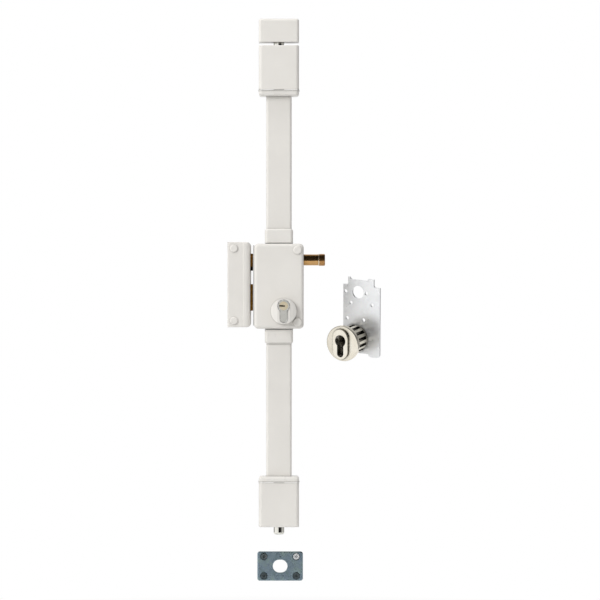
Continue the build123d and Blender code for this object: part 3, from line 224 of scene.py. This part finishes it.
def moulded(name, colours, gloss=0.3, edge=0.0006):
    """Moulded plastic: even tone, fine grain and soft flow marks."""
    material, tree, shader = new_material(name)
    flow = noise(tree, scale=22, detail=3.0, roughness=0.5, stretch=(1, 1, 0.35))
    # painted shade in seams, holes and corners
    tone = painted_corner_shade(tree, ramp(tree, flow, evenly(colours)), reach=0.002, darkest=0.1, deepest=0.3)
    sheen = drifting(tree, noise(tree, scale=110), gloss, less=0.04, more=0.06)
    grain = noise(tree, scale=2400, detail=2.0)
    normal = bumped(tree, rounded(tree, edge), grain, strength=0.08, distance=0.00005)
    finish_shader(tree, shader, tone, sheen, normal)
    shader.inputs["Subsurface Weight"].default_value = 0.04
    shader.inputs["Subsurface Radius"].default_value = (0.002, 0.0018, 0.0015)
    return material


def worked_metal(
    name, colours, gloss, lines, edge=0.0004, marks=0.12, spread=0.08, hollow=0.004, deepest=0.1,
    dark_heights=None, metallic=1.0,
):
    """Bare metal: colours change in soft clouds, with tool marks along one direction.

    lines is the stretch of the marks' noise. Holes and corners narrower than hollow get painted shade,
    and what lies below two dark heights turns darker, as a painted dark reflection.
    """
    material, tree, shader = new_material(name)
    clouds = ramp(tree, noise(tree, scale=34, detail=4.0), evenly(colours, low=0.28, high=0.72))
    # painted shade in holes and corners narrower than hollow
    tone = painted_corner_shade(tree, clouds, hollow, darkest=0.08, deepest=deepest)
    # painted dark reflection below the given heights
    if dark_heights:
        tone = painted_dark_below(tree, tone, *dark_heights)
    scratches = noise(tree, scale=1.0, detail=3.0, roughness=0.6, stretch=lines)
    sheen = drifting(tree, scratches, gloss, less=spread, more=spread, low=0.25, high=0.75)
    pits = noise(tree, scale=1500, detail=2.0)
    normal = bumped(tree, rounded(tree, edge), scratches, marks, distance=0.00006)
    normal = bumped(tree, normal, pits, strength=0.04, distance=0.00004)
    finish_shader(tree, shader, tone, sheen, normal)
    shader.inputs["Metallic"].default_value = metallic
    return material


def plated(name, colours, gloss, clouds, edge=0.0005, grain=0.12, pale_place=None):
    """Passivated zinc: drifting tints with small crystals over them, paler around one place."""
    material, tree, shader = new_material(name)
    tints = ramp(tree, noise(tree, clouds, detail=5.0, roughness=0.6), evenly(colours, low=0.25, high=0.75))
    skin = speckled(tree, tints, scale=700, share=grain)
    if pale_place:
        skin = paled_around(tree, skin, pale_place, pale_colour=(0.95, 0.97, 0.98))
    # painted shade in seams, holes and corners
    tone = painted_corner_shade(tree, skin, reach=0.004, darkest=0.1)
    sheen = drifting(tree, noise(tree, scale=180, detail=4.0), gloss, less=0.07, more=0.09)
    normal = bumped(tree, rounded(tree, edge), noise(tree, scale=800), strength=0.1, distance=0.00006)
    finish_shader(tree, shader, tone, sheen, normal)
    shader.inputs["Metallic"].default_value = 0.85
    return material


def white_enamel():
    return enamel("white enamel", [(0.725, 0.702, 0.662), (0.765, 0.742, 0.70)])


def forend_enamel():
    """Greyer than the case, as the forend stands in its shade."""
    return enamel("forend enamel", [(0.55, 0.55, 0.535), (0.60, 0.60, 0.585)], gloss=0.4)


def white_plastic():
    return moulded("white plastic", [(0.735, 0.714, 0.674), (0.765, 0.745, 0.705)])


def dark_plastic():
    return moulded("dark plastic", [(0.013, 0.013, 0.014), (0.02, 0.02, 0.022)], gloss=0.45)


def latch_brass():
    colours = [(0.56, 0.23, 0.03), (0.72, 0.31, 0.05), (0.84, 0.40, 0.08)]
    return worked_metal("latch brass", colours, gloss=0.26, lines=lines_sideways, dark_heights=latch_dark_heights)


def dead_bolt_brass():
    """Darker than the latch."""
    colours = [(0.33, 0.135, 0.015), (0.52, 0.23, 0.032), (0.67, 0.33, 0.062)]
    return worked_metal(
        "dead bolt brass", colours, gloss=0.3, lines=lines_sideways, dark_heights=dead_bolt_dark_heights,
    )


def pull_brass():
    colours = [(0.46, 0.25, 0.085), (0.56, 0.32, 0.12), (0.64, 0.39, 0.17)]
    return worked_metal("pull brass", colours, gloss=0.2, lines=rings_round_x)


def ring_brass():
    colours = [(0.86, 0.70, 0.48), (0.95, 0.82, 0.60)]
    return worked_metal("ring brass", colours, gloss=0.3, lines=rings_round_x)


def cap_brass():
    colours = [(0.42, 0.22, 0.08), (0.52, 0.29, 0.115)]
    return worked_metal("cap brass", colours, gloss=0.26, lines=rings_round_x)


def pin_brass():
    colours = [(0.60, 0.42, 0.16), (0.70, 0.50, 0.22)]
    return worked_metal("pin brass", colours, gloss=0.28, lines=rings_round_z)


def satin_nickel():
    colours = [(0.78, 0.77, 0.70), (0.86, 0.85, 0.79), (0.92, 0.91, 0.86)]
    return worked_metal(
        "satin nickel", colours, gloss=0.3, lines=specks, marks=0.04, spread=0.04, deepest=0.5,
        metallic=0.55,
    )


def worn_nickel():
    """Nickel that lets the brass under it through, on the cylinder's plugs."""
    colours = [(0.92, 0.77, 0.50), (0.98, 0.88, 0.68)]
    return worked_metal(
        "worn nickel over brass", colours, gloss=0.34, lines=specks, marks=0.04, spread=0.04, hollow=0.003,
        deepest=0.5, metallic=0.55,
    )


def warm_nickel():
    """Nickel of the exterior unit, with painted shade in the slots of its tube."""
    colours = [(0.80, 0.75, 0.63), (0.87, 0.82, 0.71), (0.92, 0.88, 0.79)]
    return worked_metal(
        "warm satin nickel", colours, gloss=0.24, lines=specks, hollow=0.022, deepest=0.4,
    )


def bolt_nickel():
    """Bright nickel of the round bolts, which mirrors the studio's panels."""
    colours = [(0.80, 0.78, 0.71), (0.86, 0.85, 0.79), (0.92, 0.91, 0.86)]
    return worked_metal(
        "bolt nickel", colours, gloss=0.07, lines=rings_round_z_fine, marks=0.01, spread=0.02, hollow=0.002,
    )


def strike_zinc():
    colours = [
        (0.13, 0.20, 0.22), (0.21, 0.29, 0.31), (0.26, 0.34, 0.41), (0.30, 0.40, 0.40), (0.46, 0.52, 0.54),
    ]
    return plated("floor strike zinc", colours, gloss=0.3, clouds=55, edge=0.0012, grain=0.05)


def outer_plate_zinc():
    colours = [(0.90, 0.915, 0.93), (0.925, 0.935, 0.945), (0.95, 0.955, 0.96)]
    return plated("outer plate zinc", colours, gloss=0.34, clouds=26, grain=0.03)


def screw_zinc():
    colours = [(0.025, 0.03, 0.03), (0.06, 0.07, 0.07), (0.34, 0.37, 0.37)]
    return plated("screw zinc", colours, gloss=0.26, clouds=28)


def strike_screw_zinc(screws):
    """Dark zinc, with the screw at the top right paler."""
    colours = [(0.06, 0.08, 0.09), (0.12, 0.15, 0.16), (0.34, 0.37, 0.37)]
    return plated("strike screw zinc", colours, gloss=0.26, clouds=28, pale_place=upper_right(screws))


def inner_steel():
    colours = [(0.42, 0.43, 0.44), (0.52, 0.53, 0.54)]
    return worked_metal("inner steel", colours, gloss=0.34, lines=lines_sideways_fine)


def spring_steel():
    colours = [(0.30, 0.30, 0.31), (0.40, 0.40, 0.41)]
    return worked_metal("spring steel", colours, gloss=0.3, lines=specks_coarse)


# The CAD nodes of each finish; the floor strike's screws have their own, and the rest are inner steel
finishes = {
    white_enamel: [
        "case_cover", "side_keeper_cover", "top_keeper_cover", "upper_bar_cover", "lower_bar_cover",
        "upper_guide_cover", "lower_guide_cover", "cover_screw_caps", "side_keeper_caps",
    ],
    forend_enamel: ["forend_plate"],
    white_plastic: [
        "inner_escutcheon", "upper_guide_cap", "lower_guide_cap", "upper_collar", "lower_collar",
    ],
    dark_plastic: ["upper_guide_block", "lower_guide_block"],
    latch_brass: ["latch_bolt"],
    dead_bolt_brass: ["dead_bolt"],
    pull_brass: ["pull_barrel"],
    ring_brass: ["pull_ring"],
    cap_brass: ["pull_cap"],
    pin_brass: ["key_pins", "driver_pins"],
    satin_nickel: ["cylinder_body"],
    worn_nickel: ["cylinder_plug_inner", "cylinder_plug_outer"],
    warm_nickel: ["outer_tube", "outer_rosette", "outer_insert"],
    bolt_nickel: ["upper_bolt", "lower_bolt", "upper_bolt_pin", "lower_bolt_pin"],
    strike_zinc: ["floor_strike_plate"],
    outer_plate_zinc: ["outer_plate"],
    screw_zinc: ["outer_tube_screws"],
    spring_steel: ["latch_spring", "drive_gear_clip"],
}


def upper_right(piece):
    """The corner of a piece's bounds in front, at the top right."""
    across, deep, upright = zip(*piece.bound_box)
    return max(across), min(deep), max(upright)


def cover(piece, material):
    """Puts a material into every slot of a piece."""
    slots = piece.data.materials
    if not slots:
        slots.append(material)
    for index in range(len(slots)):
        slots[index] = material


def dress(nodes):
    """Gives every CAD node its finish."""
    chosen = {}
    for make, names in finishes.items():
        chosen.update(dict.fromkeys(names, make()))
    chosen["floor_strike_screws"] = strike_screw_zinc(nodes["floor_strike_screws"])
    plain = inner_steel()
    for name, piece in nodes.items():
        cover(piece, chosen.get(name, plain))


def soft_box(name, place, width, height, power):
    """A rectangular lamp that faces the origin; metal shows the studio in place of it."""
    lamp = bpy.data.lights.new(name, "AREA")
    lamp.shape = "RECTANGLE"
    lamp.size = width
    lamp.size_y = height
    lamp.energy = power
    holder = bpy.data.objects.new(name, lamp)
    holder.location = place
    holder.rotation_mode = "QUATERNION"
    holder.rotation_quaternion = (-Vector(place)).to_track_quat("-Z", "Y")
    holder.visible_glossy = False
    bpy.context.scene.collection.objects.link(holder)


def studio_light(tree, side, shades):
    """A background whose shade depends on how far a ray leans towards a side."""
    light = tree.nodes.new("ShaderNodeBackground")
    place = tree.nodes.new("ShaderNodeTexCoord")
    lean = tree.nodes.new("ShaderNodeVectorMath")
    lean.operation = "DOT_PRODUCT"
    lean.inputs[1].default_value = side
    tree.links.new(place.outputs["Generated"], lean.inputs[0])
    towards = between(tree, lean.outputs["Value"], -1, 1, 0, 1)
    tree.links.new(ramp(tree, towards, greys(shades)), light.inputs["Color"])
    return light


def dark_panels(tree):
    """The reflected studio's brightness around the upright axis."""
    place = tree.nodes.new("ShaderNodeTexCoord")
    parts = tree.nodes.new("ShaderNodeSeparateXYZ")
    tree.links.new(place.outputs["Generated"], parts.inputs["Vector"])
    around = tree.nodes.new("ShaderNodeMath")
    around.operation = "ARCTAN2"
    tree.links.new(parts.outputs["Y"], around.inputs[0])
    tree.links.new(parts.outputs["X"], around.inputs[1])
    turn = between(tree, around.outputs["Value"], -math.pi, math.pi, 0, 1)
    return ramp(tree, turn, greys(panel_shades))


def chosen_by(tree, share, first, second):
    """A mix of two shaders: the second where the share is 1."""
    mix = tree.nodes.new("ShaderNodeMixShader")
    tree.links.new(share, mix.inputs["Fac"])
    tree.links.new(first, mix.inputs[1])
    tree.links.new(second, mix.inputs[2])
    return mix.outputs["Shader"]


def make_world():
    """White to the camera, soft light from the upper left, and a studio that metal reflects.

    The reflected studio is dark overhead, and white behind the object, on the left and below.
    """
    world = bpy.data.worlds.new("studio")
    world.use_nodes = True
    tree = world.node_tree
    tree.nodes.clear()
    output = tree.nodes.new("ShaderNodeOutputWorld")
    white = tree.nodes.new("ShaderNodeBackground")
    white.inputs["Color"].default_value = (1, 1, 1, 1)
    soft = studio_light(tree, soft_side, soft_shades)
    mirrored = studio_light(tree, bright_side, bright_shades)
    tree.links.new(dark_panels(tree), mirrored.inputs["Strength"])
    rays = tree.nodes.new("ShaderNodeLightPath")
    lit = chosen_by(tree, rays.outputs["Is Glossy Ray"], soft.outputs[0], mirrored.outputs[0])
    seen = chosen_by(tree, rays.outputs["Is Camera Ray"], lit, white.outputs[0])
    tree.links.new(seen, output.inputs["Surface"])
    bpy.context.scene.world = world


def floor_material():
    """Pale and dull, and glowing white towards the floor's rim."""
    material, tree, shader = new_material("pale floor")
    tree.links.new(ramp(tree, noise(tree, scale=3), evenly(floor_tones)), shader.inputs["Base Color"])
    shader.inputs["Roughness"].default_value = 0.8
    glow = tree.nodes.new("ShaderNodeEmission")
    place = tree.nodes.new("ShaderNodeTexCoord")
    reach = tree.nodes.new("ShaderNodeVectorMath")
    reach.operation = "LENGTH"
    tree.links.new(place.outputs["Object"], reach.inputs[0])
    start, end = (floor_radius * share for share in floor_fade_shares)
    fade = between(tree, reach.outputs["Value"], start, end, 0, 1)
    faded = chosen_by(tree, fade, shader.outputs["BSDF"], glow.outputs["Emission"])
    output = next(node for node in tree.nodes if node.type == "OUTPUT_MATERIAL")
    tree.links.new(faded, output.inputs["Surface"])
    return material


def make_floor():
    """A round floor that keeps the object's shadow."""
    bpy.ops.mesh.primitive_circle_add(
        vertices=floor_sides, radius=floor_radius, fill_type="NGON", location=(0, 0, floor_z)
    )
    floor = bpy.context.object
    floor.name = "floor"
    floor.data.materials.append(floor_material())


def make_camera():
    data = bpy.data.cameras.new("camera")
    data.sensor_width = sensor_width
    data.lens = sensor_width * camera_distance / frame_width
    camera = bpy.data.objects.new("camera", data)
    camera.location = (camera_x, -camera_distance, camera_z)
    camera.rotation_euler = (math.pi / 2, 0, 0)
    bpy.context.scene.collection.objects.link(camera)
    bpy.context.scene.camera = camera


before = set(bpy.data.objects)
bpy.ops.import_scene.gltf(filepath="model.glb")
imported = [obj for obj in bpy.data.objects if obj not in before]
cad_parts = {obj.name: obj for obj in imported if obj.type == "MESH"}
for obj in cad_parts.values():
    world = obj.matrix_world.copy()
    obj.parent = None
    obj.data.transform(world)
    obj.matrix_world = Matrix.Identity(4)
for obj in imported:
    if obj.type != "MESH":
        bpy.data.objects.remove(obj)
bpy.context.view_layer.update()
dress(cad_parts)
for lamp_values in lamps:
    soft_box(*lamp_values)
make_world()
make_floor()
make_camera()
bpy.context.scene.view_settings.view_transform = "Standard"
